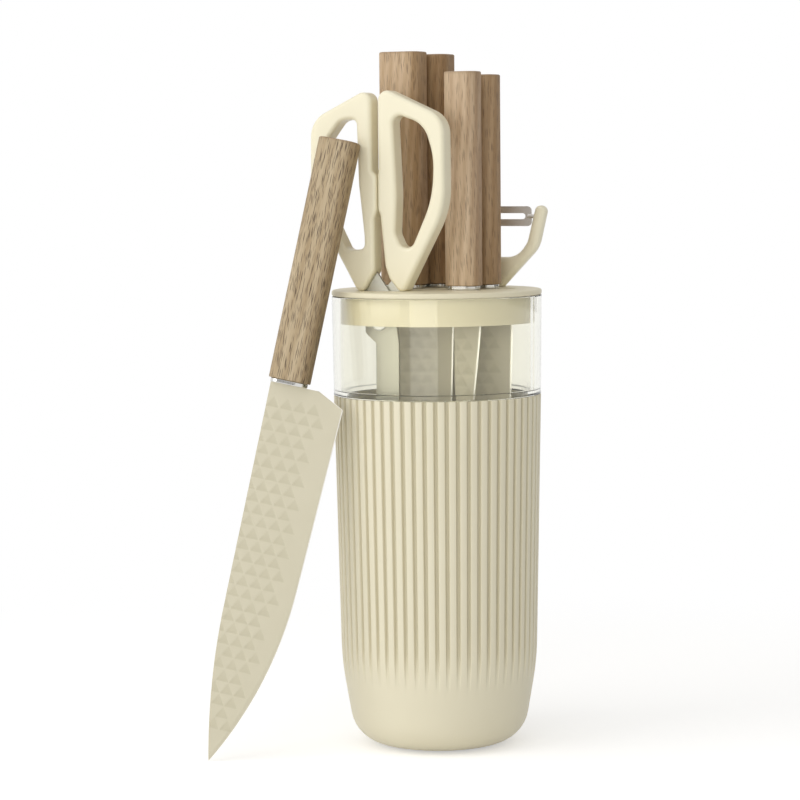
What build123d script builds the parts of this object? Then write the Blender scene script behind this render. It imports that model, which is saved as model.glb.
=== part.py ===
"""Round knife block with five knives, kitchen scissors and a Y-shaped peeler.

Millimetres, +Z up. The origin is on the table under the middle of the block, and the slots of the lid
run along X. Blades hang with their backs to -X and their cutting edges to +X.
"""
import os
from collections import namedtuple
from math import atan, cos, degrees, radians

from build123d import *

os.makedirs("parts", exist_ok=True)

# Clearances
fit_gap = 0.3           # between pieces that come apart
seat_gap = 0.1          # between pieces that stay together
pin_gap = 0.05          # around a turning pin

# Cup: the corners of its outline before they are rounded. Insets are from the rim's radius.
foot_proud = 0.8        # the foot ring stands this far below the cup
rim_radius = 55.0
rim_height = 187.0
bend_inset = 2.9
bend_height = 44.5
base_inset = 10.4
base_round = 19.0
bend_round = 150.0
cup_wall = 3.6
cup_floor = 3.5
rib_count = 59
rib_turn = 1.0          # degrees from +X to the first groove
groove_radius = 1.5
groove_depth = 0.8
groove_reach = 1.3      # length of a groove's cutter, as a share of the straight wall
seat_cut = 0.2          # how far the collar's seat is cut into the cup's wall

# Foot ring
foot_outer = 26.5
foot_inner = 20.0
foot_height = 2.4

# Clear collar between cup and lid
collar_height = 52.5
collar_flare = 0.6      # how much wider the collar is at its top than at the rim
collar_wall = 4.4
spigot_depth = 10.0
spigot_wall = 3.5
ledge_height = 3.0
collar_edge = 0.6
spigot_edge = 0.4

# Lid
lid_thick = 3.0
lid_edge = 1.1
skirt_depth = 14.2
skirt_wall = 2.4
slot_width = 5.0
slot_play = 1.2         # spare length at each end of a slot
slot_round = 2.0

# Knives
blade_thick = 2.0
edge_thick = 0.4
tip_thick = 0.7
heel_drop = 7.0
shoulder_share = 0.35   # width of the slope from heel to tang, as a share of the blade's width
tang_width = 8.0
tang_length = 62.0
bolster_height = 2.3
bolster_inset = 1.2
bolster_edge = 0.5
large_handle_width = 24.0
large_handle_thick = 17.5
small_handle_width = 19.0
small_handle_thick = 14.5
handle_round = 6.0
butt_round = 0.9
handle_clear = 1.5      # between the two large handles in the block

# Leaning chef's knife: where its point stands on the table and how it leans
lean_point_x = -88.3
lean_reach = 64.2       # from the front of the scissors' grips to the point, along Y
lean_turn = 12.0        # degrees about the vertical
lean_back = 7.72
lean_side = 10.85
lean_clear = 0.1        # from the table to the point
chef_slot_x = -23.0
chef_slot_back = 14.0   # from the scissors back to the empty slot

# Scissors
scissors_x = -19.7
scissors_inset = 29.6   # from the lid's edge to the scissors
scissors_plate = 1.8
scissors_grip_thick = 11.0
scissors_grip_edge = 2.2
scissors_slot_length = 28.0
scissors_slot_width = 6.4
pivot_depth = 16.0      # below the lid's top
pivot_radius = 2.5
pivot_head_radius = 4.5
pivot_head_thick = 0.8
pivot_head_edge = 0.4
scissors_edge = 0.8     # from the middle line to the cutting edge of the front blade
tooth_count = 5
tooth_pitch = 2.2
tooth_depth = 0.8
tooth_start = 45.0      # below the lid's top

# Peeler
peeler_x = 14.0
peeler_inset = 18.9     # from the lid's edge to the peeler
peeler_clear = 0.45     # between the peeler and the handle in front of it
peeler_thick = 7.0
peeler_edge = 2.8
peeler_grip_width = 16.0
peeler_grip_length = 95.0
peeler_rest = 0.85      # start of the flare below the lid's top, as a share of the slot's play
peeler_slot_length = 18.2
peeler_slot_width = 9.0
peeler_head_half = 35.0
peeler_head_height = 43.5
peeler_arm = 6.6
peeler_blade_half = 25.3
peeler_blade_height = 10.6
peeler_blade_thick = 0.8
peeler_blade_round = 2.4
peeler_gap_height = 3.2
peeler_gap_end = 3.5     # steel left at each end of the gap
peeler_pin_height = 37.8    # above the lid's top
peeler_pin_radius = 1.2
peeler_pin_reach = 29.6
peeler_pin_root = 2.2    # how far a pin runs into the blade

# Places, heights and radii that follow from the sizes above
base_radius = rim_radius - base_inset
bend_radius = rim_radius - bend_inset
collar_top_radius = rim_radius + collar_flare
collar_top = rim_height + collar_height
lid_top = collar_top + lid_thick
collar_bore = collar_top_radius - collar_wall
skirt_radius = collar_bore - fit_gap
spigot_seat = rim_radius - cup_wall + seat_cut
spigot_radius = spigot_seat - seat_gap
wall_rise = rim_height - bend_height
wall_slope = (rim_radius - bend_radius) / wall_rise
wall_lean = degrees(atan(wall_slope))
scissors_stack = 2 * scissors_plate + seat_gap
scissors_y = scissors_inset - collar_top_radius
lean_point_y = scissors_y - scissors_grip_thick / 2 - lean_reach
chef_slot_y = scissors_y + chef_slot_back
peeler_y = collar_top_radius - peeler_inset
slicing_y = peeler_y - peeler_thick / 2 - peeler_clear - large_handle_thick / 2
santoku_y = slicing_y - large_handle_thick - handle_clear

# One row per knife. spine: from the handle's axis to the back of the blade. tip: how far the point is
# from the back, as a share of the width. spine_bend, belly: where the back and the cutting edge start
# to curve, as shares of the length. draw: how much narrower the blade is at the belly, as a share.
Knife = namedtuple(
    "Knife", "name x y length width spine tip spine_bend belly draw handle_length handle_width handle_thick"
)
chef = Knife("chef", chef_slot_x, chef_slot_y, 200.0, 41.0, -9.6, 0.22, 0.60, 0.52, 0.10, 127.7, 21.5, 15.5)
santoku = Knife(
    "santoku", -21.0, santoku_y, 176.0, 42.5, -13.5, 0.72, 0.66, 0.50, 0.06,
    123.1, large_handle_width, large_handle_thick,
)
slicing = Knife(
    "slicing", -13.5, slicing_y, 200.0, 30.0, -10.4, 0.30, 0.70, 0.60, 0.05,
    122.1, large_handle_width, large_handle_thick,
)
paring = Knife(
    "paring", 18.2, -5.0, 92.0, 15.8, -5.4, 0.35, 0.45, 0.20, 0.06,
    111.7, small_handle_width, small_handle_thick,
)
utility = Knife(
    "utility", 19.8, 16.0, 128.0, 25.5, -8.0, 0.28, 0.55, 0.45, 0.06,
    110.5, small_handle_width, small_handle_thick,
)


def upright(face, thick):
    """Plate of the given thickness from a face drawn in x (right) and z (up), centred on y = 0."""
    return extrude(Plane.XZ * face, amount=thick / 2, both=True)


def rounded_face(corners):
    """Face from (x, y, radius) corners, each corner rounded by its own radius."""
    face = make_face(Polyline(*[(x, y) for x, y, _ in corners], close=True))
    for x, y, radius in corners:
        if radius > 0:
            face = fillet(face.vertices().sort_by_distance((x, y, 0))[0], radius)
    return face


def lathe(corners):
    """Solid of revolution about Z from (radius, height, rounding) corners."""
    return revolve(Plane.XZ * rounded_face(corners), Axis.Z)


def cup_form(inset, floor_height, top):
    """Solid of the cup's outside, drawn in by inset, from floor_height up to top."""
    return lathe(
        [
            (0, floor_height, 0),
            (base_radius - inset, floor_height, base_round - inset),
            (bend_radius - inset, bend_height, bend_round),
            (rim_radius - inset + (top - rim_height) * wall_slope, top, 0),
            (0, top, 0),
        ]
    )


def rib_grooves():
    """Round grooves down the cup's wall, which run out where the wall turns in towards the base."""
    middle = (rim_height + bend_height) / 2
    wall_middle = (rim_radius + bend_radius) / 2
    axis_radius = wall_middle + (groove_radius - groove_depth) / cos(radians(wall_lean))
    length = groove_reach * wall_rise / cos(radians(wall_lean))
    groove = Pos(axis_radius, 0, middle) * Rot(0, wall_lean, 0) * Cylinder(groove_radius, length)
    return [Rot(0, 0, rib_turn + 360 / rib_count * i) * groove for i in range(rib_count)]


def make_cup():
    """Hollow ribbed cup with a seat for the collar at its rim and a groove for the foot ring."""
    cup = cup_form(0, foot_proud, rim_height)
    cup -= cup_form(cup_wall, foot_proud + cup_floor, rim_height + 1)
    cup -= Pos(0, 0, rim_height) * Cylinder(spigot_seat, 2 * (spigot_depth + seat_gap))
    foot_seat = Cylinder(foot_outer + seat_gap, 2 * foot_height)
    foot_seat -= Cylinder(foot_inner - seat_gap, 2 * foot_height)
    cup -= foot_seat
    return cup - rib_grooves()


def make_foot_ring():
    """Soft ring that stands on the table."""
    ring = Cylinder(foot_outer, foot_height) - Cylinder(foot_inner, foot_height)
    return Pos(0, 0, foot_height / 2) * ring


def make_collar():
    """Clear ring that plugs into the cup and takes the lid's skirt."""
    spigot_bore = spigot_radius - spigot_wall
    low = rim_height - spigot_depth
    ledge = rim_height + ledge_height
    return lathe(
        [
            (spigot_radius, low, spigot_edge),
            (spigot_radius, rim_height, 0),
            (rim_radius, rim_height, collar_edge),
            (collar_top_radius, collar_top, collar_edge),
            (collar_bore, collar_top, collar_edge),
            (collar_bore, ledge, 0),
            (spigot_bore, ledge, collar_edge),
            (spigot_bore, low, spigot_edge),
        ]
    )


def slot(x, y, length, width):
    """Through slot in the lid, long along X."""
    section = RectangleRounded(length, width, slot_round)
    return Pos(x, y, lid_top) * extrude(section, amount=2 * lid_thick, both=True)


def knife_slot(knife):
    """Slot for one blade."""
    middle = knife.x + knife.spine + knife.width / 2
    return slot(middle, knife.y, knife.width + 2 * slot_play, slot_width)


def make_lid():
    """Slotted disc with a skirt that slips into the collar."""
    disc = Pos(0, 0, lid_top - lid_thick / 2) * Cylinder(collar_top_radius, lid_thick)
    disc = fillet(disc.edges(), lid_edge)
    skirt = Cylinder(skirt_radius, skirt_depth) - Cylinder(skirt_radius - skirt_wall, skirt_depth)
    lid = disc + Pos(0, 0, collar_top - skirt_depth / 2) * skirt
    for knife in (chef, santoku, slicing, paring, utility):
        lid -= knife_slot(knife)
    lid -= slot(scissors_x, scissors_y, scissors_slot_length, scissors_slot_width)
    lid -= slot(peeler_x, peeler_y, peeler_slot_length, peeler_slot_width)
    return lid


def make_blade(knife):
    """Blade and tang, hanging from z = 0, thin towards the cutting edge and towards the point."""
    back = knife.spine
    edge = knife.spine + knife.width
    top = Vector(back, 0)
    bend = Vector(back, -knife.spine_bend * knife.length)
    point = Vector(back + knife.tip * knife.width, -knife.length)
    belly = Vector(edge - knife.draw * knife.width, -knife.belly * knife.length)
    heel = Vector(edge, -heel_drop)
    neck = Vector(max(tang_width / 2, edge - shoulder_share * knife.width), 0)
    outline = [
        Line(top, bend),
        TangentArc(bend, point, tangent=(0, -1)),
        TangentArc(belly, point, tangent=belly - heel),
        Line(belly, heel),
        Line(heel, neck),
        Line(neck, top),
    ]
    plate = upright(make_face(outline), blade_thick)
    across = Polyline(
        (back, blade_thick / 2),
        (edge, edge_thick / 2),
        (edge, -edge_thick / 2),
        (back, -blade_thick / 2),
        close=True,
    )
    along = Polyline(
        (blade_thick / 2, 0),
        (blade_thick / 2, -knife.length / 2),
        (tip_thick / 2, -knife.length),
        (-tip_thick / 2, -knife.length),
        (-blade_thick / 2, -knife.length / 2),
        (-blade_thick / 2, 0),
        close=True,
    )
    plate &= extrude(make_face(across), amount=-knife.length)
    plate &= Pos(back + knife.width / 2, 0, 0) * extrude(
        Plane.YZ * make_face(along), amount=knife.width, both=True
    )
    return plate + Pos(0, 0, tang_length / 2) * Box(tang_width, blade_thick, tang_length)


def tang_pocket():
    """Space that the tang takes up in bolster and handle."""
    length = tang_length + seat_gap
    return Pos(0, 0, length / 2) * Box(tang_width + 2 * seat_gap, blade_thick + 2 * seat_gap, length)


def make_bolster(knife):
    """Steel ring between blade and handle, which rests on the lid."""
    section = RectangleRounded(
        knife.handle_width - 2 * bolster_inset,
        knife.handle_thick - 2 * bolster_inset,
        handle_round - bolster_inset,
    )
    ring = extrude(section, amount=bolster_height)
    ring = fillet(ring.faces().filter_by(Axis.Z).edges(), bolster_edge)
    return ring - tang_pocket()


def make_handle(knife):
    """Wooden handle with rounded sides and a softly rounded butt."""
    section = RectangleRounded(knife.handle_width, knife.handle_thick, handle_round)
    handle = Pos(0, 0, bolster_height) * extrude(section, amount=knife.handle_length)
    handle = fillet(handle.faces().sort_by(Axis.Z)[-1].edges(), butt_round)
    handle = fillet(handle.faces().sort_by(Axis.Z)[0].edges(), bolster_edge)
    return handle - tang_pocket()


def lean(knife):
    """Place of the leaning knife: its point on the table, turned and tilted."""
    point = Pos(knife.spine + knife.tip * knife.width, 0, -knife.length)
    stand = Pos(lean_point_x, lean_point_y, lean_clear)
    return stand * Rot(0, 0, lean_turn) * Rot(-lean_back, 0, 0) * Rot(0, lean_side, 0) * point.inverse()


def right_outline():
    """Outer edge of the right-hand scissors grip, from the scissors' middle line and the lid's top."""
    return [
        (0.9, 107.0, 5.0),
        (38.6, 90.0, 13.0),
        (39.0, 43.0, 45.0),
        (15.8, 0.0, 2.8),
        (12.2, 0.0, 2.8),
        (6.7, 6.4, 4.0),
        (4.4, 13.0, 10.0),
        (1.7, 39.5, 3.0),
        (0.4, 43.0, 5.0),
        (0.4, 60.0, 5.0),
        (0.9, 63.0, 5.0),
    ]


def right_hole():
    """Finger hole of the right-hand grip."""
    return [
        (9.4, 92.8, 4.0),
        (27.0, 86.5, 14.0),
        (32.6, 70.0, 40.0),
        (31.6, 48.0, 55.0),
        (19.6, 22.2, 4.6),
        (13.6, 23.4, 4.0),
        (10.4, 30.0, 6.0),
        (11.4, 50.0, 60.0),
    ]


def left_outline():
    """Outer edge of the left-hand grip, which has the bump that stops the two grips against each other."""
    return [
        (-3.0, 106.5, 5.0),
        (-38.6, 89.4, 14.0),
        (-39.0, 47.0, 45.0),
        (-12.0, 0.0, 2.8),
        (-8.3, 0.0, 2.8),
        (-1.6, 10.5, 5.0),
        (-1.8, 38.0, 2.5),
        (-0.2, 42.0, 3.5),
        (-0.2, 60.0, 3.0),
        (-3.0, 62.8, 2.5),
    ]


def left_hole():
    """Finger hole of the left-hand grip."""
    return [
        (-11.6, 89.6, 3.0),
        (-20.6, 89.2, 7.0),
        (-32.4, 74.0, 24.0),
        (-31.6, 48.0, 40.0),
        (-17.8, 21.2, 4.0),
        (-7.6, 22.0, 3.0),
        (-7.7, 29.0, 10.0),
        (-10.7, 56.0, 40.0),
    ]


def front_plate():
    """Blade of the left-hand grip, in front. Its cutting edge has a notch for bones below the pivot."""
    return [
        (2.6, -118.0, 0.6),
        (10.8, -62.0, 60.0),
        (10.8, -26.0, 6.0),
        (8.6, -11.0, 5.0),
        (5.6, -0.8, 3.0),
        (-6.5, 16.5, 2.0),
        (-15.5, 12.5, 2.0),
        (-9.8, 0.0, 4.0),
        (-8.6, -11.0, 5.0),
        (-8.0, -22.0, 2.0),
        (0.0, -29.0, 1.4),
        (-1.8, -32.0, 0.5),
        (scissors_edge, -34.5, 0.8),
        (scissors_edge, -84.0, 30.0),
    ]


def back_plate():
    """Blade of the right-hand grip, behind the other."""
    return [
        (2.6, -118.0, 0.6),
        (-3.2, -66.0, 40.0),
        (-3.2, -27.0, 5.0),
        (-8.6, -14.0, 6.0),
        (-4.5, -5.4, 4.0),
        (14.5, 14.2, 2.0),
        (19.5, 13.0, 2.0),
        (13.0, 0.0, 4.0),
        (8.6, -11.0, 5.0),
        (9.6, -30.0, 10.0),
        (9.6, -66.0, 40.0),
    ]


def plate_layer(side):
    """Middle of one scissors blade in y: the front blade (side -1) lies against the back one (+1)."""
    return side * (scissors_plate + seat_gap) / 2


def make_scissors_plate(corners, side):
    """One steel blade with its tang and the hole for the pivot."""
    plate = upright(rounded_face(corners), scissors_plate)
    hole = Pos(0, 0, -pivot_depth) * Rot(90, 0, 0) * Cylinder(pivot_radius + pin_gap, 2 * scissors_plate)
    return Pos(0, plate_layer(side), 0) * (plate - hole)


def tooth_cuts():
    """Row of saw teeth in the cutting edge of the front blade."""
    root = (-tooth_depth, 0)
    tip = (tooth_depth, tooth_pitch / 2)
    next_root = (-tooth_depth, tooth_pitch)
    gap = upright(make_face(Polyline(root, tip, next_root, close=True)), 2 * scissors_plate)
    cuts = []
    for i in range(tooth_count):
        z = -tooth_start - (i + 1) * tooth_pitch
        cuts.append(Pos(scissors_edge, plate_layer(-1), z) * gap)
    return cuts


def make_grip(outline, hole, plate_corners, side):
    """One scissors grip: a closed loop with rounded edges round the tang of its blade."""
    grip = upright(rounded_face(outline) - rounded_face(hole), scissors_grip_thick)
    grip = fillet(grip.faces().filter_by(Axis.Y).edges(), scissors_grip_edge)
    pocket = upright(rounded_face(plate_corners), scissors_plate + 2 * seat_gap)
    return grip - Pos(0, plate_layer(side), 0) * pocket


def make_pivot_screw():
    """Screw through both blades, with its head in front."""
    shaft = Cylinder(pivot_radius, scissors_stack + 2 * seat_gap + pivot_head_thick)
    head = Cylinder(pivot_head_radius, pivot_head_thick)
    head = fillet(head.faces().sort_by(Axis.Z)[-1].edges(), pivot_head_edge)
    front = scissors_stack / 2 + seat_gap + pivot_head_thick / 2
    screw = Pos(0, 0, -pivot_head_thick / 2) * shaft + Pos(0, 0, front) * head
    return Pos(0, 0, -pivot_depth) * Rot(90, 0, 0) * screw


def make_pivot_nut():
    """Flat round nut behind the blades."""
    nut = Cylinder(pivot_head_radius, pivot_head_thick) - Cylinder(pivot_radius, pivot_head_thick)
    behind = scissors_stack / 2 + seat_gap + pivot_head_thick / 2
    return Pos(0, 0, -pivot_depth) * Rot(90, 0, 0) * Pos(0, 0, -behind) * nut


def mirrored(corners):
    """Closed outline from the corners of its right half, given from the top down."""
    return corners + [(-x, z, r) for x, z, r in reversed(corners)]


def yoke_half():
    """Right half of the peeler's fork and grip, from the crotch up the arm and down to the grip's end."""
    half = peeler_grip_width / 2
    inner = peeler_head_half - peeler_arm
    play = (peeler_slot_length - peeler_grip_width) / 2
    return [
        (inner - 11.0, 16.0, 12.0),
        (inner - 5.0, 24.0, 10.0),
        (inner, peeler_head_height, 3.0),
        (peeler_head_half, peeler_head_height, 3.2),
        (peeler_head_half - 5.4, 21.0, 16.0),
        (half, -peeler_rest * play, 1.0),
        (half - 1.0, -peeler_grip_length, 5.0),
    ]


def make_peeler_yoke():
    """Fork of the peeler and the grip below it, in one piece."""
    yoke = upright(rounded_face(mirrored(yoke_half())), peeler_thick)
    yoke = fillet(yoke.faces().filter_by(Axis.Y).edges(), peeler_edge)
    hole = Cylinder(peeler_pin_radius + pin_gap, 2 * (peeler_pin_reach + fit_gap))
    return yoke - Pos(0, 0, peeler_pin_height) * Rot(0, 90, 0) * hole


def make_peeler_blade():
    """Swivelling double-edged blade with a lengthwise gap and a pin at each end."""
    plate = RectangleRounded(2 * peeler_blade_half, peeler_blade_height, peeler_blade_round)
    plate -= SlotOverall(2 * (peeler_blade_half - peeler_gap_end), peeler_gap_height)
    blade = upright(plate, peeler_blade_thick)
    pin_length = peeler_pin_reach - peeler_blade_half + peeler_pin_root
    pin = Rot(0, 90, 0) * Cylinder(peeler_pin_radius, pin_length)
    for side in (-1, 1):
        blade += Pos(side * (peeler_pin_reach - pin_length / 2), 0, 0) * pin
    return Pos(0, 0, peeler_pin_height) * blade


nodes = {
    "foot_ring": make_foot_ring(),
    "cup": make_cup(),
    "collar": make_collar(),
    "lid": make_lid(),
}
for knife in (santoku, slicing, paring, utility, chef):
    place = lean(knife) if knife is chef else Pos(knife.x, knife.y, lid_top)
    nodes[f"{knife.name}_blade"] = place * make_blade(knife)
    nodes[f"{knife.name}_bolster"] = place * make_bolster(knife)
    nodes[f"{knife.name}_handle"] = place * make_handle(knife)

scissors_place = Pos(scissors_x, scissors_y, lid_top)
nodes["scissors_blade_front"] = scissors_place * (make_scissors_plate(front_plate(), -1) - tooth_cuts())
nodes["scissors_blade_back"] = scissors_place * make_scissors_plate(back_plate(), 1)
nodes["scissors_grip_right"] = scissors_place * make_grip(right_outline(), right_hole(), back_plate(), 1)
nodes["scissors_grip_left"] = scissors_place * make_grip(left_outline(), left_hole(), front_plate(), -1)
nodes["scissors_screw"] = scissors_place * make_pivot_screw()
nodes["scissors_nut"] = scissors_place * make_pivot_nut()

peeler_place = Pos(peeler_x, peeler_y, lid_top)
nodes["peeler_yoke"] = peeler_place * make_peeler_yoke()
nodes["peeler_blade"] = peeler_place * make_peeler_blade()

for name, shape in nodes.items():
    export_step(shape, f"parts/{name}.step")
    box = shape.bounding_box()
    print(f"{name:22s} volume {shape.volume:10.1f}  x {box.min.X:7.1f} {box.max.X:7.1f}"
          f"  y {box.min.Y:7.1f} {box.max.Y:7.1f}  z {box.min.Z:7.1f} {box.max.Z:7.1f}")
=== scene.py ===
# %% [markdown]
# # A round knife block, dressed for a studio picture
# The solids come ready from the CAD model: cup, clear collar, lid, knives, scissors and peeler.
# This lesson gives them their finishes and replaces the pieces whose surface is the point of them:
# the ribbed cup and the blades with their pressed triangles.
# All sizes below are in millimetres, as on the drawing, and turn to metres when a mesh is made.

# %% Load the frame
import math

import bmesh
import bpy
import numpy as np
from mathutils import Matrix, Vector


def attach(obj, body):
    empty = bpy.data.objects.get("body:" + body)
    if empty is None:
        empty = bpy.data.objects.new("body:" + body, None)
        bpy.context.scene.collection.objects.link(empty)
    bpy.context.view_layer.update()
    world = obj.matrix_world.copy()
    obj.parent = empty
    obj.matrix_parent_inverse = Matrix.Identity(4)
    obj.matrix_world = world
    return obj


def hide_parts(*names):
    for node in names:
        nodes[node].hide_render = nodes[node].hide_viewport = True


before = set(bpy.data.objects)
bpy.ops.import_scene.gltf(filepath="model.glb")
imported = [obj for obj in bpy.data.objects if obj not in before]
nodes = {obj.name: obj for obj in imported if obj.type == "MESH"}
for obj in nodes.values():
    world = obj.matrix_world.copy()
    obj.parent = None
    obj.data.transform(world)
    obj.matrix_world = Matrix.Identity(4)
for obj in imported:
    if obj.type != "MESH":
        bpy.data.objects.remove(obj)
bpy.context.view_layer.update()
scene = bpy.context.scene
scene.view_settings.view_transform = "Standard"
MM = 0.001

# %% [markdown]
# ## Camera
# The picture was taken with a long lens from a little above the lid, 25 degrees to the right of straight across
# the slots. A camera can be aimed with a Track To constraint, but here pan, pitch and roll are known as angles,
# so its three axes are worked out and put into the matrix directly.

# %% Camera
TURN, PAN, PITCH, ROLL = np.radians([25.0, -0.769, 4.78, -0.516])
FOCAL_PX, FRAME_PX, SENSOR = 2800.0, 800.0, 36.0
DISTANCE, HEIGHT = 1483.0, 307.7


def camera_axes(turn, pan, pitch, roll):
    """Right, up and backward axes: level axes turned about Z by turn, then panned, pitched down and rolled."""
    right = np.array([math.cos(turn), math.sin(turn), 0.0])
    away = np.array([-math.sin(turn), math.cos(turn), 0.0])
    above = np.array([0.0, 0.0, 1.0])
    ahead = math.cos(pan) * away + math.sin(pan) * right
    right = math.cos(pan) * right - math.sin(pan) * away
    view = math.cos(pitch) * ahead - math.sin(pitch) * above
    up = math.cos(pitch) * above + math.sin(pitch) * ahead
    rolled_right = math.cos(roll) * right + math.sin(roll) * up
    rolled_up = math.cos(roll) * up - math.sin(roll) * right
    return rolled_right, rolled_up, -view


lens = bpy.data.cameras.new("studio_camera")
lens.sensor_width = SENSOR
lens.lens = FOCAL_PX / FRAME_PX * SENSOR
lens.clip_end = 20.0
camera = bpy.data.objects.new("studio_camera", lens)
place = np.eye(4)
place[:3, 0], place[:3, 1], place[:3, 2] = camera_axes(TURN, PAN, PITCH, ROLL)
place[:3, 3] = np.array([DISTANCE * math.sin(TURN), -DISTANCE * math.cos(TURN), HEIGHT]) * MM
camera.matrix_world = Matrix(place.tolist())
scene.collection.objects.link(camera)
scene.camera = camera
print("lens", lens.lens, "mm, camera at", [round(v, 4) for v in camera.location])

# %% [markdown]
# ## Two small helpers for materials
# A material is a graph of nodes. Building one by hand takes the same three steps again and again: add a node,
# set its properties, link its sockets. One function does all three, so that a graph reads as a list.
# Colours are written as they would be picked on a screen, and are turned to the linear values that light needs.

# %% Material helpers


def linear(hex_colour):
    """Screen colour #rrggbb as linear RGBA: the sRGB curve, which is a power of 2.4 above its straight foot."""
    srgb = np.array([int(hex_colour[i:i + 2], 16) for i in (1, 3, 5)]) / 255.0
    rgb = np.where(srgb <= 0.04045, srgb / 12.92, ((srgb + 0.055) / 1.055) ** 2.4)
    return (*rgb.tolist(), 1.0)


def add(tree, kind, inputs=None, **settings):
    """Adds one node. settings are its properties; inputs are sockets by name or number, linked or set."""
    node = tree.nodes.new("ShaderNode" + kind)
    for key, value in settings.items():
        setattr(node, key, value)
    for key, value in (inputs or {}).items():
        if isinstance(value, bpy.types.NodeSocket):
            tree.links.new(value, node.inputs[key])
        else:
            node.inputs[key].default_value = value
    return node


def new_material(name):
    """Empty material with its node tree."""
    material = bpy.data.materials.new(name)
    material.use_nodes = True
    material.node_tree.nodes.clear()
    return material, material.node_tree


def dress(material, *names):
    """Gives CAD nodes this material in every slot they have."""
    for name in names:
        piece = nodes[name]
        if not piece.material_slots:
            piece.data.materials.append(material)
        for slot in piece.material_slots:
            slot.material = material
    print(material.name, "->", ", ".join(names))


# %% [markdown]
# ## Cream plastic
# Cup and lid are moulded ABS with a satin skin, and the scissors' grips and the peeler are the same plastic
# polished a little more. Moulded plastic is never one flat colour: the pigment drifts slightly over a few
# centimetres, and the skin has a fine orange-peel grain. Two noise textures give both, one for the colour and
# one for roughness and bump. The cup's grooves are painted a shade darker than its ribs: this is painted
# shade in the grooves. An attribute of the cup's mesh says where they are.

# %% Cream plastic


def moulded_plastic(name, light, dark, roughness, grain_mm, bump, painted_groove_shade=None):
    """Satin ABS: pigment drift of about 30 mm between two close colours, and a skin grain of grain_mm.
    Where a groove shade colour is given, the groove attribute of the mesh mixes it in as painted shade."""
    material, tree = new_material(name)
    where = add(tree, "TexCoord").outputs["Object"]
    drift = add(tree, "TexNoise", {"Vector": where, "Scale": 1 / (30 * MM), "Detail": 2.0})
    grain = add(tree, "TexNoise", {"Vector": where, "Scale": 1 / (grain_mm * MM), "Detail": 3.0})
    tint = add(tree, "Mix", {0: drift.outputs[0], 6: linear(light), 7: linear(dark)}, data_type="RGBA")
    # painted shade: where the groove attribute is 1, the colour is mixed towards a darker cream
    if painted_groove_shade:
        groove = add(tree, "Attribute", attribute_name="groove").outputs["Fac"]
        tint = add(tree, "Mix", {0: groove, 6: tint.outputs[2], 7: linear(painted_groove_shade)}, data_type="RGBA")
    rough = add(tree, "MapRange", {0: grain.outputs[0], 3: roughness - 0.06, 4: roughness + 0.06})
    skin = add(tree, "Bump", {"Height": grain.outputs[0], "Strength": bump, "Distance": 0.05 * MM})
    surface = add(tree, "BsdfPrincipled", {
        "Base Color": tint.outputs[2], "Roughness": rough.outputs[0], "Normal": skin.outputs[0], "IOR": 1.52,
    })
    add(tree, "OutputMaterial", {"Surface": surface.outputs[0]})
    return material


satin_abs = moulded_plastic("satin_cream_abs", "#ece4c7", "#e7dec0", 0.46, 0.9, 0.25)
# the last colour is the painted shade in the cup's grooves
ribbed_abs = moulded_plastic("ribbed_cream_abs", "#ece5cb", "#e7dfc4", 0.46, 0.9, 0.25, "#d3cbb0")
gloss_abs = moulded_plastic("polished_cream_abs", "#f5eed2", "#f1e9cc", 0.34, 1.4, 0.12)
dress(satin_abs, "lid")
dress(gloss_abs, "scissors_grip_right", "scissors_grip_left", "peeler_yoke")

# %% [markdown]
# ## Clear collar
# The collar is clear moulded acrylic, 4.4 mm thick and very slightly warm. A glass shader bends light in it,
# which shows the wall's thickness at both sides. Light that falls through a bending shader reaches the inside
# only by chance, so the collar is told to cast no shadow, as a clear wall hardly does.

# %% Clear collar


def clear_plastic():
    """Acrylic, IOR 1.49: full transmission, a warm tint, and flow marks of 25 mm that vary the roughness."""
    material, tree = new_material("clear_moulded_acrylic")
    where = add(tree, "TexCoord").outputs["Object"]
    flow = add(tree, "TexNoise", {"Vector": where, "Scale": 1 / (25 * MM), "Detail": 1.0})
    rough = add(tree, "MapRange", {0: flow.outputs[0], 3: 0.015, 4: 0.05})
    surface = add(tree, "BsdfPrincipled", {
        "Base Color": linear("#f6f5ec"), "Roughness": rough.outputs[0], "IOR": 1.49,
        "Transmission Weight": 1.0,
    })
    add(tree, "OutputMaterial", {"Surface": surface.outputs[0]})
    return material


dress(clear_plastic(), "collar")
nodes["collar"].visible_shadow = False

# %% [markdown]
# ## Beech handles
# The handles are oiled beech. Beech shows short dark pores along the grain, paler and darker bands of growth,
# and fine fibres between them. Real grain goes through the wood, so the pattern is made in space and the handle
# cuts it: dashes on the sides become dots on the butt. A Mapping node turns and moves the pattern into each
# knife's own axes, so that every handle is cut from another part of the plank. Each handle's +X side is
# painted darker, which is painted shade, and the butt has soaked up more oil.

# %% Wood grain
BAND_MM, FIBRE_MM, PORE_MM = (5, 60), (0.55, 10), (0.36, 8.0)
BAND_PART, FIBRE_PART, RING_PART, SIDE_SHADE_PART = 0.55, 0.40, 0.22, 0.30
RING_MM, RING_TILT = 4.2, 5.0
# painted shade: each handle's +X side grows darker between these two distances from its axis, in mm
SIDE_SHADE_FROM, SIDE_SHADE_TO = 6.0, 9.5
TONE_PALE, TONE_DEEP = 0.34, 0.90
PORE_SLANT, PORE_REACH, PORE_SOFT = 2.0, 0.44, 0.16


def stretched(tree, where, size_mm, shift):
    """Coordinates in which a pattern of size 1 is size_mm large, given across and then down the grain."""
    across, along = (1 / (mm * MM) for mm in size_mm)
    scale = (across, across, along)
    return add(tree, "Mapping", {"Vector": where, "Location": shift, "Scale": scale}).outputs[0]


def long_noise(tree, own, size_mm, shift):
    """Noise stretched down the grain."""
    where = stretched(tree, own, size_mm, shift)
    return add(tree, "TexNoise", {"Vector": where, "Scale": 1.0, "Detail": 3.0}).outputs[0]


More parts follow.
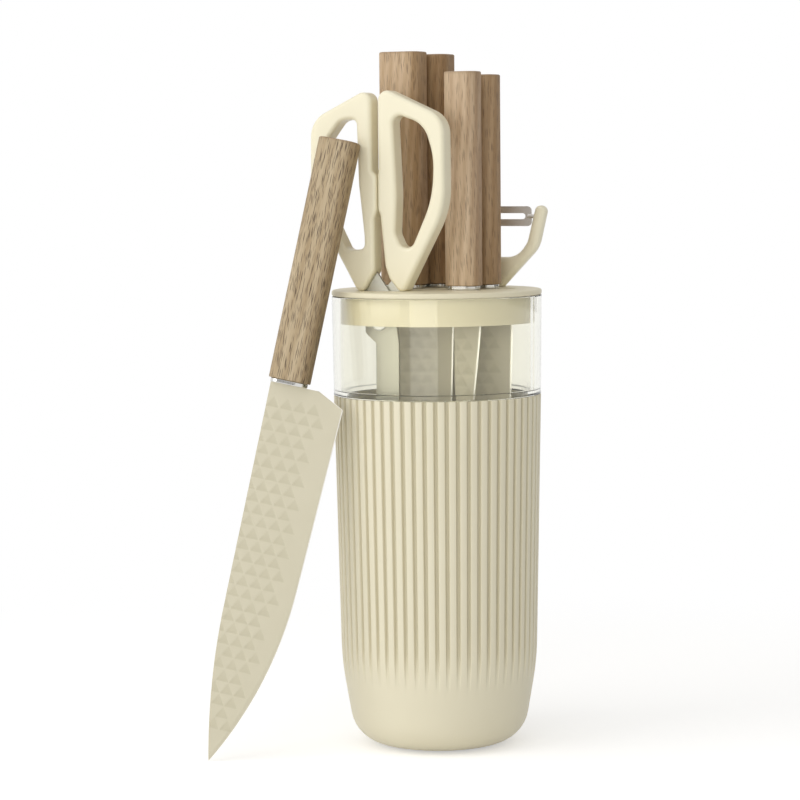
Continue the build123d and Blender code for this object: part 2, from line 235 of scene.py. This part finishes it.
def grain_tone_and_side_shade(tree, own, seed, shift, fibre):
    """Bands, fibres, tilted year rings and painted shade on the +X side, added up and graded from 0 to 1."""
    tilted = add(tree, "Mapping", {
        "Vector": own, "Location": (0.045, 0.03 + 0.004 * seed, 0.0),
        "Rotation": (math.radians(RING_TILT), math.radians(seed - 3.5), 0.0),
    }).outputs[0]
    rings = add(tree, "TexWave", {
        "Vector": tilted, "Scale": 2 * math.pi / 20 / (RING_MM * MM), "Distortion": 2.2, "Detail": 2.0,
        "Detail Scale": 0.35,
    }, wave_type="RINGS", rings_direction="Z").outputs["Fac"]
    band = long_noise(tree, own, BAND_MM, shift)
    # painted shade: the tone starts from the distance along +X, so that side of the handle is painted darker
    aside = add(tree, "SeparateXYZ", {0: own}).outputs[0]
    tone = add(tree, "MapRange", {
        0: aside, 1: SIDE_SHADE_FROM * MM, 2: SIDE_SHADE_TO * MM, 3: 0.0, 4: SIDE_SHADE_PART,
    }).outputs[0]
    for pattern, part in ((band, BAND_PART), (fibre, FIBRE_PART), (rings, RING_PART)):
        tone = add(tree, "Math", {0: pattern, 1: part, 2: tone}, operation="MULTIPLY_ADD").outputs[0]
    return add(tree, "MapRange", {0: tone, 1: TONE_PALE, 2: TONE_DEEP}).outputs[0]


def pore_dashes(tree, own, shift, share, depth):
    """Dashes round the points of a stretched Voronoi pattern. A share of the points has one, of this depth."""
    slanted = add(tree, "Mapping", {"Vector": own, "Rotation": (0.0, math.radians(PORE_SLANT), 0.0)}).outputs[0]
    where = stretched(tree, slanted, PORE_MM, shift)
    cell = add(tree, "TexVoronoi", {"Vector": where, "Scale": 1.0, "Randomness": 1.0}).outputs
    luck = add(tree, "SeparateColor", {0: cell["Color"]}).outputs[0]
    reach = add(tree, "MapRange", {0: luck, 1: 1.0 - share, 2: 1.25 - share, 3: 0.0, 4: PORE_REACH}).outputs[0]
    inside = add(tree, "Math", {0: reach, 1: cell["Distance"]}, operation="SUBTRACT").outputs[0]
    return add(tree, "MapRange", {0: inside, 1: 0.0, 2: PORE_SOFT, 3: 0.0, 4: depth}).outputs[0]


# %% Beech
PORE_COLOUR, BUTT_COLOUR = "#3b2918", "#8a6f50"
BUTT_SOAK, BUTT_DARK = 1.6, 0.55


def beech(name, origin, turning, seed, pale, deep, pore_share, pore_depth, butt):
    """Oiled beech in the knife's own axes: a tone between two colours with painted shade on the +X side, dark
    pores, and a butt full of oil.
    """
    material, tree = new_material(name)
    own = add(tree, "Mapping", {
        "Vector": add(tree, "TexCoord").outputs["Object"],
        "Location": [v * MM for v in origin], "Rotation": turning.to_euler("XYZ"),
    }, vector_type="TEXTURE").outputs[0]
    shift = (seed * 3.7, seed * 1.9, seed * 2.3)
    fibre = long_noise(tree, own, FIBRE_MM, shift)
    tone = grain_tone_and_side_shade(tree, own, seed, shift, fibre)
    pores = pore_dashes(tree, own, shift, pore_share, pore_depth)
    height = add(tree, "SeparateXYZ", {0: own}).outputs[2]
    soaked = add(tree, "MapRange", {
        0: height, 1: (butt - BUTT_SOAK) * MM, 2: butt * MM, 3: 0.0, 4: BUTT_DARK,
    }).outputs[0]
    colour = linear(pale)
    for share, shade in ((tone, deep), (pores, PORE_COLOUR), (soaked, BUTT_COLOUR)):
        colour = add(tree, "Mix", {0: share, 6: colour, 7: linear(shade)}, data_type="RGBA").outputs[2]
    rough = add(tree, "MapRange", {0: fibre, 3: 0.48, 4: 0.66}).outputs[0]
    ridges = add(tree, "Math", {0: fibre, 1: 0.25}, operation="MULTIPLY").outputs[0]
    relief = add(tree, "Math", {0: ridges, 1: pores}, operation="SUBTRACT").outputs[0]
    grain = add(tree, "Bump", {"Height": relief, "Strength": 0.45, "Distance": 0.15 * MM}).outputs[0]
    surface = add(tree, "BsdfPrincipled", {
        "Base Color": colour, "Roughness": rough, "Normal": grain, "IOR": 1.5,
    })
    add(tree, "OutputMaterial", {"Surface": surface.outputs[0]})
    return material


# %% [markdown]
# ## The five knives
# One row per knife repeats the drawing: where the handle's axis stands, the blade's length and width, how its
# outline runs, and where the butt ends. The leaning chef's knife has its own place: its point stands on the
# table and the rest leans back and to the side.

# %% Knife rows
LID_TOP = 242.5
LEAN_POINT = (-88.3, -95.7, 0.1)
LEAN_TURN, LEAN_BACK, LEAN_SIDE = 12.0, 7.72, 10.85
KNIVES = {
    "santoku": dict(x=-21.0, y=5.0, length=176.0, width=42.5, spine=-13.5, tip=0.72, bend=0.66, belly=0.50,
                    draw=0.06, butt=125.4),
    "slicing": dict(x=-13.5, y=24.0, length=200.0, width=30.0, spine=-10.4, tip=0.30, bend=0.70, belly=0.60,
                    draw=0.05, butt=124.4),
    "paring": dict(x=18.2, y=-5.0, length=92.0, width=15.8, spine=-5.4, tip=0.35, bend=0.45, belly=0.20,
                   draw=0.06, butt=114.0),
    "utility": dict(x=19.8, y=16.0, length=128.0, width=25.5, spine=-8.0, tip=0.28, bend=0.55, belly=0.45,
                    draw=0.06, butt=112.8),
    "chef": dict(x=None, y=None, length=200.0, width=41.0, spine=-9.6, tip=0.22, bend=0.60, belly=0.52,
                 draw=0.10, butt=130.0),
}


def lean_turning():
    """Turning of the leaning knife: about Z, then back about X, then to the side about Y."""
    turn = Matrix.Rotation(math.radians(LEAN_TURN), 3, "Z")
    back = Matrix.Rotation(math.radians(-LEAN_BACK), 3, "X")
    return turn @ back @ Matrix.Rotation(math.radians(LEAN_SIDE), 3, "Y")


def knife_place(name):
    """Turning and origin of a knife's own axes: upright in its slot, or leaning with its point on the table."""
    row = KNIVES[name]
    if name != "chef":
        return Matrix.Identity(3), Vector((row["x"], row["y"], LID_TOP))
    turning = lean_turning()
    point = Vector((row["spine"] + row["tip"] * row["width"], 0.0, -row["length"]))
    return turning, Vector(LEAN_POINT) - turning @ point


# %% Five handles
# For each handle: the place in the plank, pale and deep colour (the deep colour also takes the painted shade on
# the +X side), and the pores' share and depth.
WOODS = {
    "santoku": (1.0, "#cfb595", "#a98a64", 0.66, 0.66),
    "slicing": (2.0, "#b99b75", "#967650", 0.66, 0.62),
    "paring": (3.0, "#d3bb9c", "#a98b6a", 0.60, 0.58),
    "utility": (4.0, "#c0a37f", "#9b7c57", 0.60, 0.60),
    "chef": (5.0, "#c5b292", "#a58d6a", 1.0, 0.90),
}
for name, (seed, pale, deep, share, depth) in WOODS.items():
    turning, origin = knife_place(name)
    wood = beech(f"oiled_beech_{name}", origin, turning, seed, pale, deep, share, depth, KNIVES[name]["butt"])
    dress(wood, f"{name}_handle")

# %% [markdown]
# ## Steel
# Bolsters and pivot are polished stainless steel, the peeler's blade is satin, and the scissors are ground: the
# wheel leaves fine scratches across the blade. Stretched noise makes such scratches, and it acts on roughness
# and bump, because steel has no colour pattern of its own.

# %% Steel


def stainless(name, colour, roughness, spread, across_mm, along_mm, bump):
    """Stainless steel: scratches across_mm apart and along_mm long, running along X, vary the roughness."""
    material, tree = new_material(name)
    where = add(tree, "TexCoord").outputs["Object"]
    lay = add(tree, "Mapping", {
        "Vector": where, "Scale": (1 / (along_mm * MM), 1 / (across_mm * MM), 1 / (across_mm * MM)),
    })
    scratch = add(tree, "TexNoise", {"Vector": lay.outputs[0], "Scale": 1.0, "Detail": 3.0})
    rough = add(tree, "MapRange", {0: scratch.outputs[0], 3: roughness - spread, 4: roughness + spread})
    cut = add(tree, "Bump", {"Height": scratch.outputs[0], "Strength": bump, "Distance": 0.02 * MM})
    surface = add(tree, "BsdfPrincipled", {
        "Base Color": linear(colour), "Metallic": 1.0, "Roughness": rough.outputs[0], "Normal": cut.outputs[0],
    })
    add(tree, "OutputMaterial", {"Surface": surface.outputs[0]})
    return material


polished = stainless("polished_stainless_steel", "#d9d8d4", 0.14, 0.05, 0.6, 12, 0.15)
ground = stainless("ground_stainless_steel", "#c6c4b6", 0.34, 0.08, 0.35, 18, 0.3)
satin = stainless("satin_stainless_steel", "#eeeeec", 0.5, 0.06, 0.5, 10, 0.1)
dress(polished, *[f"{name}_bolster" for name in KNIVES], "scissors_screw", "scissors_nut")
dress(ground, "scissors_blade_front", "scissors_blade_back")
dress(satin, "peeler_blade")

# %% [markdown]
# ## Silicone foot
# The ring under the cup is soft grey-cream silicone. It is matt and a little dusty, so its roughness is high
# and varies in patches of a few millimetres.

# %% Silicone foot
dress(moulded_plastic("matt_silicone", "#c9c2ae", "#bdb6a2", 0.72, 3.0, 0.2), "foot_ring")

# %% [markdown]
# ## From a grid of points to a mesh
# The next pieces are surfaces worked out as whole arrays: one function of two parameters, sampled on a grid.
# The grid becomes quads, a seam or a pole becomes one set of points by merging doubles, and the normals are
# turned outwards after that.

# %% Grid to mesh


def piece_from_grid(name, points, sharp_degrees):
    """Mesh object from points[row, column] in mm, closed round the columns. Quads join neighbours."""
    rows, columns = points.shape[:2]
    index = np.arange(rows * columns).reshape(rows, columns)
    after = np.roll(index, -1, axis=1)
    quads = np.stack([index[:-1], after[:-1], after[1:], index[1:]], axis=-1).reshape(-1, 4)
    mesh = bpy.data.meshes.new(name)
    mesh.from_pydata((points.reshape(-1, 3) * MM).tolist(), [], quads.tolist())
    work = bmesh.new()
    work.from_mesh(mesh)
    bmesh.ops.remove_doubles(work, verts=work.verts, dist=1e-7)
    bmesh.ops.dissolve_degenerate(work, edges=work.edges, dist=1e-8)
    bmesh.ops.recalc_face_normals(work, faces=work.faces)
    work.to_mesh(mesh)
    work.free()
    mesh.polygons.foreach_set("use_smooth", np.ones(len(mesh.polygons), dtype=bool))
    mesh.set_sharp_from_angle(angle=math.radians(sharp_degrees))
    piece = bpy.data.objects.new(name, mesh)
    scene.collection.objects.link(piece)
    print(name, len(mesh.vertices), "points", len(mesh.polygons), "faces")
    return piece


def points_of(mesh):
    """Points of a mesh in mm, one row each."""
    flat = np.empty(len(mesh.vertices) * 3)
    mesh.vertices.foreach_get("co", flat)
    return flat.reshape(-1, 3) / MM


def keep_attribute(mesh, name, values):
    """Stores one number per point on the mesh under a name that a material can read."""
    mesh.attributes.new(name, "FLOAT", "POINT").data.foreach_set("value", values.astype(np.float32))


# %% [markdown]
# ## The ribbed cup
# The cup is turned, and 59 grooves run down its wall and fade out where the wall turns in to the base. Cutting
# 59 grooves with booleans leaves sharp, thin slivers. Here the wall is a profile carried round the axis, and
# the groove is a smooth dip taken off the radius. The dip's depth fades with the height, so each rib ends
# softly, and each rib is a little crowned, so that its two sides catch the light differently.

# %% Cup profile
BASE, BEND, RIM = (44.6, 0.8), (52.1, 44.5), (55.0, 187.0)
CUP_WALL, CUP_FLOOR, SEAT_RADIUS, SEAT_DEPTH = 3.6, 3.5, 51.6, 10.1
BASE_ROUND, BEND_ROUND, RIM_ROUND = 19.0, 150.0, 0.5
FOOT_IN, FOOT_OUT, FOOT_TOP = 19.9, 26.6, 2.4


def rounded_profile(corners, arc_points):
    """Outline through (radius, height, rounding) corners: each becomes an arc that touches both sides."""
    path = np.array([c[:2] for c in corners], dtype=float)
    runs = [path[:1]]
    for before, here, after, rounding in zip(path[:-2], path[1:-1], path[2:], [c[2] for c in corners[1:-1]]):
        if rounding == 0:
            runs.append(here[None])
            continue
        into = (here - before) / np.linalg.norm(here - before)
        out = (after - here) / np.linalg.norm(after - here)
        turn = math.acos(float(np.clip(into @ out, -1, 1)))
        start = here - into * rounding * math.tan(turn / 2)
        side = out - into * (into @ out)
        side = side / np.linalg.norm(side)
        angle = np.linspace(0, turn, arc_points)[:, None]
        runs.append(start + rounding * (np.sin(angle) * into + (1 - np.cos(angle)) * side))
    runs.append(path[-1:])
    return np.concatenate(runs)


def with_steps(path, step):
    """The same outline with extra points, so that no stretch is longer than step: linear along its length."""
    length = np.concatenate([[0], np.cumsum(np.linalg.norm(np.diff(path, axis=0), axis=1))])
    marks = np.unique(np.concatenate([length, np.arange(0, length[-1], step)]).round(6))
    return np.stack([np.interp(marks, length, path[:, i]) for i in (0, 1)], axis=-1)


slope = (RIM[0] - BEND[0]) / (RIM[1] - BEND[1])
seat_low = RIM[1] - SEAT_DEPTH
profile = with_steps(rounded_profile([
    (0, BASE[1], 0), (FOOT_IN, BASE[1], 0), (FOOT_IN, FOOT_TOP, 0),
    (FOOT_OUT, FOOT_TOP, 0), (FOOT_OUT, BASE[1], 0),
    (*BASE, BASE_ROUND), (*BEND, BEND_ROUND), (*RIM, RIM_ROUND), (SEAT_RADIUS, RIM[1], RIM_ROUND),
    (SEAT_RADIUS, seat_low, 0), (RIM[0] - CUP_WALL - SEAT_DEPTH * slope, seat_low, 0),
    (BEND[0] - CUP_WALL, BEND[1], BEND_ROUND), (BASE[0] - CUP_WALL, BASE[1] + CUP_FLOOR, BASE_ROUND - CUP_WALL),
    (0, BASE[1] + CUP_FLOOR, 0),
], 10), 16.0)
print("cup profile:", len(profile), "points")

# %% Cup surface
RIBS, RIB_TURN, GROOVE_DEPTH, RIB_CROWN = 59, 1.0, 1.4, 0.4
WALL_FROM, WALL_TO = 0.55, 0.80
FADE_LOW, FADE_HIGH = 33.0, 62.0
HALF_RIB = np.array([0, .08, .16, .24, .27, .29, .31, .33, .35, .37, .40, .45, .5])
RIB_SAMPLES = np.concatenate([HALF_RIB, 1 - HALF_RIB[-2:0:-1]])


def smooth_step(low, high, value):
    """0 below low, 1 above high, and between them 3t^2 - 2t^3."""
    t = np.clip((value - low) / (high - low), 0, 1)
    return t * t * (3 - 2 * t)


def rib_to_groove(turns):
    """0 in the middle of a rib and 1 in the middle of a groove, from the turns round the cup."""
    return 1 - 2 * np.abs(turns * RIBS % 1.0 - 0.5)


def ribbed_cup():
    """Profile carried round Z. The radius loses a smooth groove between ribs and a little beside each crown."""
    turns = ((np.arange(RIBS)[:, None] + RIB_SAMPLES) / RIBS).ravel()
    groove = rib_to_groove(turns)
    dip = GROOVE_DEPTH * smooth_step(WALL_FROM, WALL_TO, groove) + RIB_CROWN * groove ** 2
    radius, height = profile[:, :1], profile[:, 1:]
    outside = (np.arange(len(profile)) <= np.argmax(profile[:, 1]))[:, None]
    depth = dip * outside * smooth_step(FADE_LOW, FADE_HIGH, height)
    round_it = 2 * math.pi * (turns - 0.5 / RIBS) + math.radians(RIB_TURN)
    wall = radius - depth
    return np.stack([wall * np.cos(round_it), wall * np.sin(round_it), height + 0 * wall], axis=-1)


cup = piece_from_grid("ribbed_cup", ribbed_cup(), 40)
x, y, z = points_of(cup.data).T
turns = (np.arctan2(y, x) - math.radians(RIB_TURN)) / (2 * math.pi) + 0.5 / RIBS
outside = np.hypot(x, y) > BEND[0] + slope * (z - BEND[1]) - CUP_WALL + 1
# painted shade mask: 1 in the middle of each groove on the outer wall, fading out low on the cup
painted_groove_shade = smooth_step(WALL_FROM, WALL_TO, rib_to_groove(turns)) * smooth_step(FADE_LOW, FADE_HIGH, z)
keep_attribute(cup.data, "groove", painted_groove_shade * outside)
cup.data.materials.append(ribbed_abs)
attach(cup, "holder")
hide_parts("cup")

# %% [markdown]
# ## The blades
# Each blade is a thin plate with a cream non-stick coat. Rows of small triangles are pressed into its sides,
# and a plain strip runs along the cutting edge. The plate could be cut from a flat mesh and textured, but then
# the pattern would be paint. Here back and edge are two curves, a grid runs between them on both sides, and
# each triangle is a facet that sinks towards its base.

# %% Blade outline
HEEL_DROP, SHOULDER, TANG = 7.0, 0.35, 8.0
BLADE_THICK, EDGE_THICK, TIP_THICK = 2.0, 0.4, 0.7


def arc_x(start, end, tangent, z):
    """x at height z on the circle that leaves start along tangent and runs through end."""
    step = end - start
    across = np.array([-tangent[1], tangent[0]]) / np.linalg.norm(tangent)
    radius = step @ step / (2 * (step @ across))
    centre = start + across * radius
    half = np.sqrt(np.maximum(radius ** 2 - (z - centre[1]) ** 2, 0))
    return centre[0] + half * np.sign(start[0] - centre[0])


def blade_outline(row, z):
    """x of back and cutting edge at height z: straight at first, then circles that meet at the point."""
    length, width, spine = row["length"], row["width"], row["spine"]
    point = np.array([spine + row["tip"] * width, -length])
    bend = np.array([spine, -row["bend"] * length])
    heel = np.array([spine + width, -HEEL_DROP])
    belly = np.array([spine + width * (1 - row["draw"]), -row["belly"] * length])
    neck = max(TANG / 2, spine + width * (1 - SHOULDER))
    back = np.where(z > bend[1], spine, arc_x(bend, point, np.array([0.0, -1.0]), np.minimum(z, bend[1])))
    straight = np.interp(-z, [0, HEEL_DROP, -belly[1]], [neck, heel[0], belly[0]])
    edge = np.where(z > belly[1], straight, arc_x(belly, point, belly - heel, np.minimum(z, belly[1])))
    return back, edge


# %% Pressed triangles
TRIANGLE_WIDE, TRIANGLE_HIGH = 7.4, 6.3
PRESS_DEPTH, PLAIN_STRIP = 0.22, 0.27
FIELD_TOP, FIELD_END, TRIANGLE_GAP, SINK_AT_TOP = 5.0, 16.0, 0.03, 0.35


def pressed(row, x, z):
    """Depth from 0 to 1 of the pressed triangles: rows across the blade, every second row shifted by half.
    A triangle stands on its row's base and narrows to its top, and sinks most at its base."""
    line = np.floor(z / TRIANGLE_HIGH)
    rise = z / TRIANGLE_HIGH - line
    along = (x - row["spine"]) / TRIANGLE_WIDE + 0.5 * (line % 2)
    aside = np.abs(along - np.floor(along) - 0.5)
    centre_z = (line + 0.4) * TRIANGLE_HIGH
    centre_x = row["spine"] + (np.floor(along) + 0.5 - 0.5 * (line % 2)) * TRIANGLE_WIDE
    back, edge = blade_outline(row, np.clip(centre_z, -row["length"] + 0.5, -0.5))
    share = (centre_x - back) / np.maximum(edge - back, 1e-3)
    field = (share > -0.02) & (share < 1 - PLAIN_STRIP)
    field &= (centre_z < -FIELD_TOP) & (centre_z > FIELD_END - row["length"])
    inside = np.clip(((1 - rise) * 0.5 - TRIANGLE_GAP - aside) / TRIANGLE_GAP, 0, 1)
    return field * inside * (SINK_AT_TOP + (1 - SINK_AT_TOP) * (1 - rise))


# %% Blade surface
BEVEL_SLOPE, EDGE_LEFT = 0.22, 0.03
TIP_FROM, TIP_ROWS = 0.92, 24
EDGE_SHARES = [0.945, 0.96, 0.975, 0.985, 0.993, 1.0]


def blade_points(row, row_step, columns):
    """Both sides of a blade: a grid from back to edge at each height, thinned to the edge, the point and the
    bevel, less the pressed triangles. Rows lie closer together near the point."""
    tip = TIP_FROM * row["length"]
    fine_tip = row["length"] * (1 - np.linspace(0.2, 0, TIP_ROWS) ** 1.6)
    z = -np.concatenate([np.arange(0, tip, row_step), fine_tip[fine_tip > tip]])
    z[-1] = -row["length"] + 0.02
    back, edge = (side[:, None] for side in blade_outline(row, z))
    z = z[:, None]
    share = np.concatenate([np.linspace(0, 0.93, columns - len(EDGE_SHARES)), EDGE_SHARES])
    x = back + (edge - back) * share
    across = BLADE_THICK + (EDGE_THICK - BLADE_THICK) * (x - row["spine"]) / row["width"]
    along = np.interp(-z, [0, row["length"] / 2, row["length"]], [BLADE_THICK, BLADE_THICK, TIP_THICK])
    half = np.minimum(across, along) / 2 - PRESS_DEPTH * pressed(row, x, z)
    half = np.minimum(half, EDGE_LEFT + BEVEL_SLOPE * (edge - x))
    front = np.stack([x, -half, z + 0 * x], axis=-1)
    behind = np.stack([x, half, z + 0 * x], axis=-1)[:, ::-1]
    ring = np.concatenate([front, behind], axis=1)
    ends = [np.broadcast_to(ring[i].mean(axis=0), ring[i].shape)[None] for i in (0, -1)]
    return np.concatenate([ends[0], ring, ends[1]], axis=0)


# %% [markdown]
# ## Coated steel
# The coat is a cream ceramic paint, satin, with a fine speckle. The pressed facets are painted a shade darker
# than the raised face, which is painted shade, and the grinding wheel has bared the steel in a thin line along
# the cutting edge. Both places are known when the surface is made, so they are kept on the mesh as attributes
# that the material reads. The steel is made metallic where the grind attribute says so.

# %% Coated blade material


def coated_blade():
    """Satin cream coat with 0.8 mm speckle, painted shade where facet is 1, and bare steel where grind is 1."""
    material, tree = new_material("cream_coated_steel")
    where = add(tree, "TexCoord").outputs["Object"]
    speckle = add(tree, "TexNoise", {"Vector": where, "Scale": 1 / (0.8 * MM), "Detail": 3.0})
    cloud = add(tree, "TexNoise", {"Vector": where, "Scale": 1 / (22 * MM), "Detail": 2.0})
    facet = add(tree, "Attribute", attribute_name="facet").outputs["Fac"]
    grind = add(tree, "Attribute", attribute_name="grind").outputs["Fac"]
    coat = add(tree, "Mix", {0: cloud.outputs[0], 6: linear("#d7d0b8"), 7: linear("#cfc8af")}, data_type="RGBA")
    # painted shade: the coat on the pressed facets is mixed towards a darker cream
    painted_facet_shade = add(tree, "Mix", {0: facet, 6: coat.outputs[2], 7: linear("#c9c2a8")}, data_type="RGBA")
    bared = add(tree, "Mix", {0: grind, 6: painted_facet_shade.outputs[2], 7: linear("#f6f4ee")}, data_type="RGBA")
    rough = add(tree, "MapRange", {0: speckle.outputs[0], 3: 0.36, 4: 0.48})
    skin = add(tree, "Bump", {"Height": speckle.outputs[0], "Strength": 0.12, "Distance": 0.03 * MM})
    surface = add(tree, "BsdfPrincipled", {
        "Base Color": bared.outputs[2], "Metallic": grind,
        "Roughness": rough.outputs[0], "Normal": skin.outputs[0],
    })
    add(tree, "OutputMaterial", {"Surface": surface.outputs[0]})
    return material


coat = coated_blade()

# %% Five blades
GRIND_WIDTH, CHEF_GRIND_WIDTH = 1.0, 0.4
CHEF_GRID, OTHER_GRID = (0.62, 66), (1.0, 40)

for name, row in KNIVES.items():
    step, columns = CHEF_GRID if name == "chef" else OTHER_GRID
    blade = piece_from_grid(f"{name}_coated_blade", blade_points(row, step, columns), 50)
    mesh = blade.data
    own = points_of(mesh)
    edge = blade_outline(row, own[:, 2])[1]
    # the facet attribute is the depth of the pressed triangles; the coat uses it for its painted shade
    keep_attribute(mesh, "facet", pressed(row, own[:, 0], own[:, 2]))
    grind = CHEF_GRIND_WIDTH if name == "chef" else GRIND_WIDTH
    keep_attribute(mesh, "grind", 1 - smooth_step(grind * 0.6, grind, edge - own[:, 0]))
    turning, origin = knife_place(name)
    mesh.transform(Matrix.Translation(origin * MM) @ turning.to_4x4())
    mesh.materials.append(coat)
    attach(blade, f"{name}_knife")
    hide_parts(f"{name}_blade")

# %% [markdown]
# ## Floor
# The object stands on a plain white floor in a white room. A very large floor lit by lamps darkens with the
# distance, so between 260 and 550 mm from the block's middle the floor turns into the same white as the room.
# Closer by it is matt and keeps the shadow. The lift to white acts only on rays that the camera, gloss and
# clear plastic send out, so it puts no soft light on the object.

# %% Floor
FLOOR_HALF, FLOOR_FROM, FLOOR_TO, FLOOR_LIFT = 4.0, 0.26, 0.55, 0.42


def seen_directly(tree):
    """1 for rays from the camera, from gloss and through clear plastic, and 0 for soft bounced light."""
    path = add(tree, "LightPath").outputs
    shiny = add(tree, "Math", {0: path["Is Camera Ray"], 1: path["Is Glossy Ray"]}, operation="MAXIMUM")
    both = add(tree, "Math", {0: shiny.outputs[0], 1: path["Is Transmission Ray"]}, operation="MAXIMUM")
    return both.outputs[0]


def floor_material():
    """Matt white card: diffuse near the object, fading by distance to plain white for seen rays."""
    material, tree = new_material("matt_white_card")
    where = add(tree, "TexCoord").outputs["Object"]
    grain = add(tree, "TexNoise", {"Vector": where, "Scale": 1 / (4 * MM), "Detail": 2.0})
    card = add(tree, "Mix", {0: grain.outputs[0], 6: linear("#f4f3f1"), 7: linear("#efeeec")}, data_type="RGBA")
    matt = add(tree, "BsdfDiffuse", {"Color": card.outputs[2]})
    lift = add(tree, "Emission", {"Strength": FLOOR_LIFT})
    near = add(tree, "AddShader", {0: matt.outputs[0], 1: lift.outputs[0]})
    white = add(tree, "Emission", {"Strength": 1.0})
    away = add(tree, "VectorMath", {0: where}, operation="LENGTH")
    far = add(tree, "MapRange", {
        0: away.outputs["Value"], 1: FLOOR_FROM, 2: FLOOR_TO,
    }, interpolation_type="SMOOTHSTEP")
    seen = add(tree, "MixShader", {0: far.outputs[0], 1: near.outputs[0], 2: white.outputs[0]})
    shown = add(tree, "MixShader", {0: seen_directly(tree), 1: matt.outputs[0], 2: seen.outputs[0]})
    add(tree, "OutputMaterial", {"Surface": shown.outputs[0]})
    return material


def flat_card(name, corners, material):
    """One flat quad through four corners in metres."""
    mesh = bpy.data.meshes.new(name)
    mesh.from_pydata(corners, [], [(0, 1, 2, 3)])
    mesh.materials.append(material)
    card = bpy.data.objects.new(name, mesh)
    scene.collection.objects.link(card)


corners = [(FLOOR_HALF * x, FLOOR_HALF * y, 0) for x, y in ((-1, -1), (1, -1), (1, 1), (-1, 1))]
flat_card("floor", corners, floor_material())
print("floor", 2 * FLOOR_HALF, "m square")

# %% [markdown]
# ## Light
# A white room gives soft light from all sides, and three soft boxes add to it: a key from the left, one from
# above, and a low fill beside the camera that reaches the blades under the lid. The fill isn't mirrored,
# because steel that faces the camera would show it as a burnt-out patch.

# %% World and lamps
AMBIENT = 0.50
WHITE = linear("#ffffff")
AIM = Vector((0, 0, 0.17))
world = bpy.data.worlds.new("white_room")
scene.world = world
world.use_nodes = True
world.node_tree.nodes.clear()
sky = world.node_tree
dim = add(sky, "Background", {"Color": WHITE, "Strength": AMBIENT})
plain = add(sky, "Background", {"Color": WHITE, "Strength": 1.0})
room = add(sky, "MixShader", {0: seen_directly(sky), 1: dim.outputs[0], 2: plain.outputs[0]})
add(sky, "OutputWorld", {"Surface": room.outputs[0]})


def softbox(name, azimuth, elevation, distance, width, height, power, mirrored=True):
    """Area lamp of width x height metres at an azimuth and elevation, facing AIM in the middle of the object.
    One that isn't mirrored gives light but no highlight."""
    a, e = math.radians(azimuth), math.radians(elevation)
    back = Vector((math.sin(a) * math.cos(e), -math.cos(a) * math.cos(e), math.sin(e)))
    lamp = bpy.data.lights.new(name, "AREA")
    lamp.shape = "RECTANGLE"
    lamp.size, lamp.size_y = width, height
    lamp.energy = power
    box = bpy.data.objects.new(name, lamp)
    box.location = AIM + back * distance
    box.rotation_mode = "QUATERNION"
    box.rotation_quaternion = (-back).to_track_quat("-Z", "Y")
    box.visible_glossy = mirrored
    scene.collection.objects.link(box)
    print(name, "at", [round(v, 2) for v in box.location], power, "W")


softbox("key_softbox", -36, 20, 1.5, 1.1, 1.1, 6.0)
softbox("low_fill", 10, 4, 1.6, 0.9, 0.6, 5.0, mirrored=False)
softbox("top_softbox", -20, 68, 1.3, 1.2, 1.2, 3.0)

# %% [markdown]
# ## Dark flags
# Polished steel in an all-white room has no shape. A photographer hangs dark cloths round the object, so that
# steel and clear plastic mirror them as dark bands. These three are curved round the block and seen only by
# gloss, so that they take no light from it. The high one is for the leaning knife's bolster, which faces up.

# %% Dark flags
FLAG_RADIUS, FLAG_COLUMNS = 1.1, 24
flock = moulded_plastic("black_flock_cloth", "#34332f", "#2a2926", 0.9, 2.0, 0.1)


def flag(name, azimuths, low, high):
    """Part of an upright cylinder round Z between two azimuths in degrees and two heights in metres."""
    turn = np.radians(np.linspace(*azimuths, FLAG_COLUMNS))
    ring = FLAG_RADIUS * np.stack([np.sin(turn), -np.cos(turn)], axis=-1)
    points = [(x, y, z) for z in (low, high) for x, y in ring.tolist()]
    above = FLAG_COLUMNS
    faces = [(i, i + 1, i + 1 + above, i + above) for i in range(FLAG_COLUMNS - 1)]
    mesh = bpy.data.meshes.new(name)
    mesh.from_pydata(points, [], faces)
    mesh.materials.append(flock)
    cloth = bpy.data.objects.new(name, mesh)
    cloth.visible_camera = cloth.visible_diffuse = cloth.visible_shadow = cloth.visible_transmission = False
    scene.collection.objects.link(cloth)
    print(name, azimuths, "degrees")


flag("left_flag", (-56, 14), 0.165, 0.235)
flag("right_flag", (107, 165), 0.165, 0.235)
flag("high_flag", (-13, 11), 0.375, 0.445)
